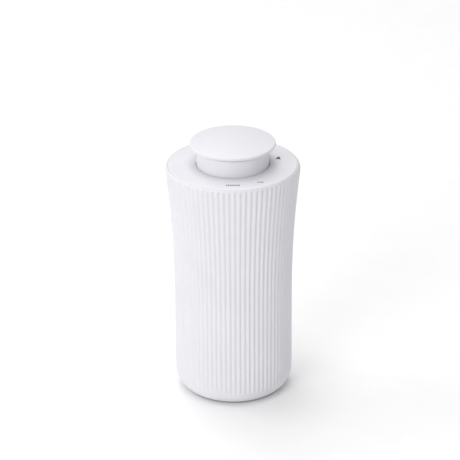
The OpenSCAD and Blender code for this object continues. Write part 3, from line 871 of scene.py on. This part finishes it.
def feet():
    """Four soft pads, each a rounded strip bent round the cover."""
    low, high = bottom("foot_pads"), top("foot_pads")
    half_angle, steps, end_tuck = 44.0, 40, 0.3
    bm = bmesh.new()
    for k in range(4):
        rings = []
        for i in range(steps + 1):
            tuck = end_tuck if i in (0, steps) else 0.0
            r0, r1 = PAD_IN + tuck, reach("foot_pads") - tuck
            section = rounded([(r0, low), (r1, low), (r1, high), (r0, high)], 0.3, 3)
            a = math.radians(90 * k + half_angle * (-1 + 2 * i / steps))
            cos, sin = math.cos(a), math.sin(a)
            rings.append([bm.verts.new((r * cos * MM, r * sin * MM, z * MM)) for r, z in section])
        bridge(bm, rings)
        cap_ends(bm, rings)
    soften(to_object(bm, "Foot_strips", "grey_rubber_feet", TRAY, "foot_pads"), 50)


def intake():
    """Woven screen on the cover: wavy threads both ways between two rings."""
    low, high = bottom("intake_mesh"), top("intake_mesh")
    r0, r1, rim = 14.0, reach("intake_mesh"), 0.7
    mid, pitch, thread, sway = (low + high) / 2, 1.4, 0.12, 0.11
    bm = bmesh.new()
    for r_in, r_out in ((r0, r0 + rim), (r1 - rim, r1)):
        lathe(bm, rounded([(r_in, low), (r_out, low), (r_out, high), (r_in, high)], 0.15, 2), 160)
    lines = int(r1 / pitch)
    for swap in (0, 1):
        for j in range(-lines, lines + 1):
            across = j * pitch
            reach_out = math.sqrt(max((r1 - 0.3) ** 2 - across ** 2, 0))
            reach_in = math.sqrt(max((r0 + 0.3) ** 2 - across ** 2, 0))
            spans = [(-reach_out, reach_out)]
            if reach_in:
                spans = [(-reach_out, -reach_in), (reach_in, reach_out)]
            for start, end in spans:
                count = max(2, int((end - start) / (pitch / 4)))
                points = []
                for i in range(count + 1):
                    along = start + (end - start) * i / count
                    lift = sway * math.cos(math.pi * (along / pitch + j + swap))
                    points.append((across, along, mid + lift) if swap else (along, across, mid + lift))
                tube(bm, points, thread, 5)
    soften(to_object(bm, "Woven_screen", "grey_mesh", TRAY, "intake_mesh"), 60)


def wrap():
    """Fleece sleeve: slightly wavy, with a lapped seam."""
    low, high = bottom("filter_wrap"), top("filter_wrap")
    outer = reach("filter_wrap")
    inner = outer - 0.5
    rows, wave_h = 48, 0.1
    lap_h, lap_at, lap_edge, lap_rate = 0.16, 2.4, 0.985, 400
    outside = [(outer, low + (high - low) * i / rows) for i in range(rows + 1)]
    inside = [(inner, high), (inner, low)]

    def waves(r, z, a):
        if r < outer:
            return r
        lap = lap_h * max(0.0, min(1.0, (math.cos(a - lap_at) - lap_edge) * lap_rate))
        pull = math.sin(math.pi * (z - low) / (high - low))
        return r - wave_h + lap + wave_h * pull * math.sin(23 * a + 0.31 * z) * math.sin(9 * a - 0.17 * z)

    bm = bmesh.new()
    lathe(bm, outside + inside, 360, waves)
    soften(to_object(bm, "Fleece_sleeve", "white_fleece", TRAY, "filter_wrap"), 50)


def end_cap(node, name, inner):
    """Moulded end cap of the cartridge with rounded edges: a ring, or a disc where inner is 0."""
    low, high, outer = bottom(node), top(node), reach(node)
    edge_r = 0.45
    bm = bmesh.new()
    if inner:
        profile = [(inner, low), (outer, low), (outer, high), (inner, high)]
        lathe(bm, rounded(profile, edge_r, 5), 192)
    else:
        side = outer - edge_r
        profile = [(0.0, low), (side, low)] + arc((side, low + edge_r), edge_r, -90, 0, 5)[1:]
        profile += arc((side, high - edge_r), edge_r, 0, 90, 5) + [(0.0, high)]
        dome(bm, profile, 192)
    soften(to_object(bm, name, "black_plastic", TRAY, node), 40)


# ---------------------------------------------------------------- carried-over pieces

def dress_nodes():
    """Gives each CAD node the material of its slot in the record."""
    slots = {s["node"]: s["material_slot"] for s in frame["record"]["subparts"]}
    for name, obj in NODES.items():
        look = LOOKS[slots[name]]
        if obj.material_slots:
            for s in obj.material_slots:
                s.material = look
        else:
            obj.data.materials.append(look)


# ---------------------------------------------------------------- stage

LIGHT_SIZE, LIGHT_DISTANCE = 1.2, 2.0
AIM = Vector((0, 0, 0.08))
# Name, azimuth and elevation in degrees, power in watts
LIGHTS = (
    ("Overhead_box", 0, 89, 12.5),
    ("Back_box", 200, 60, 8.6),
    ("Left_front_box", 325, 25, 7.4),
    ("Low_left_box", 325, 6, 8.0),
    ("Left_box", 255, 40, 5.5),
)


def area_light(name, azimuth, elevation, power):
    """Round soft box aimed at the object; azimuth 0 is the front, 90 the right."""
    a, e = math.radians(azimuth), math.radians(elevation)
    direction = Vector((math.sin(a) * math.cos(e), -math.cos(a) * math.cos(e), math.sin(e)))
    place = AIM + LIGHT_DISTANCE * direction
    data = bpy.data.lights.new(name, "AREA")
    data.shape = "DISK"
    data.size = LIGHT_SIZE
    data.energy = power
    light = bpy.data.objects.new(name, data)
    bpy.context.scene.collection.objects.link(light)
    light.location = place
    light.rotation_euler = (AIM - place).to_track_quat("-Z", "Y").to_euler()


def stage():
    """Pale floor, even surroundings and the soft boxes; sizes here are in metres."""
    mesh = bpy.data.meshes.new("Floor")
    half = 6.0
    corners = [(-half, -half, 0), (half, -half, 0), (half, half, 0), (-half, half, 0)]
    mesh.from_pydata(corners, [], [(0, 1, 2, 3)])
    floor = bpy.data.objects.new("Floor", mesh)
    bpy.context.scene.collection.objects.link(floor)
    mat, tree, shader = new_material("Pale_floor")
    paper = noise(tree, 40, 4)
    shade = ramp(tree, paper.outputs["Fac"], [(0.3, (0.97, 0.97, 0.972)), (0.7, (0.985, 0.985, 0.988))])
    tree.links.new(shade.outputs["Color"], shader.inputs["Base Color"])
    shader.inputs["Roughness"].default_value = 0.9
    shader.inputs["Specular IOR Level"].default_value = 0.1
    mesh.materials.append(mat)
    world = bpy.data.worlds.new("Studio")
    world.use_nodes = True
    background = world.node_tree.nodes["Background"]
    background.inputs["Color"].default_value = (1.0, 1.0, 1.0, 1)
    background.inputs["Strength"].default_value = 0.46
    bpy.context.scene.world = world
    for light in LIGHTS:
        area_light(*light)
    bpy.context.scene.view_settings.view_transform = "Standard"


def camera():
    """Long lens from the front and a little above; sizes here are in metres."""
    elevation = math.radians(25.8)
    distance = 1.65
    above, aside, roll = 0.0194, 0.0019, -0.33
    look = Vector((0, math.cos(elevation), -math.sin(elevation)))
    up = Vector((0, math.sin(elevation), math.cos(elevation)))
    target = Vector((0, 0, 0.08))
    data = bpy.data.cameras.new("Camera")
    data.sensor_width = 36.0
    data.lens = 215.2
    data.clip_start = 0.05
    cam = bpy.data.objects.new("Camera", data)
    bpy.context.scene.collection.objects.link(cam)
    cam.location = target - look * distance
    aim = target + up * above - Vector((aside, 0, 0))
    cam.rotation_euler = (aim - cam.location).to_track_quat("-Z", "Y").to_euler()
    cam.rotation_euler.rotate_axis("Z", math.radians(roll))
    bpy.context.scene.camera = cam


camera()
dress_nodes()
casing()
deck()
marks()
cap()
neck()
spring()
screws("knob_screws", "Cap_screws", KNOB, TAB_AT, 4, 45)
screws("deck_screws", "Deck_screws", HOUSING, DECK_SCREWS_AT, 3, 30)
screws("chassis_screws", "Chassis_screws", HOUSING, CHASSIS_SCREWS_AT, 3, 90)
port()
cover()
feet()
intake()
wrap()
end_cap("filter_top_cap", "Top_end_cap", INLET_R)
end_cap("filter_bottom_cap", "Bottom_end_cap", 0)
stage()
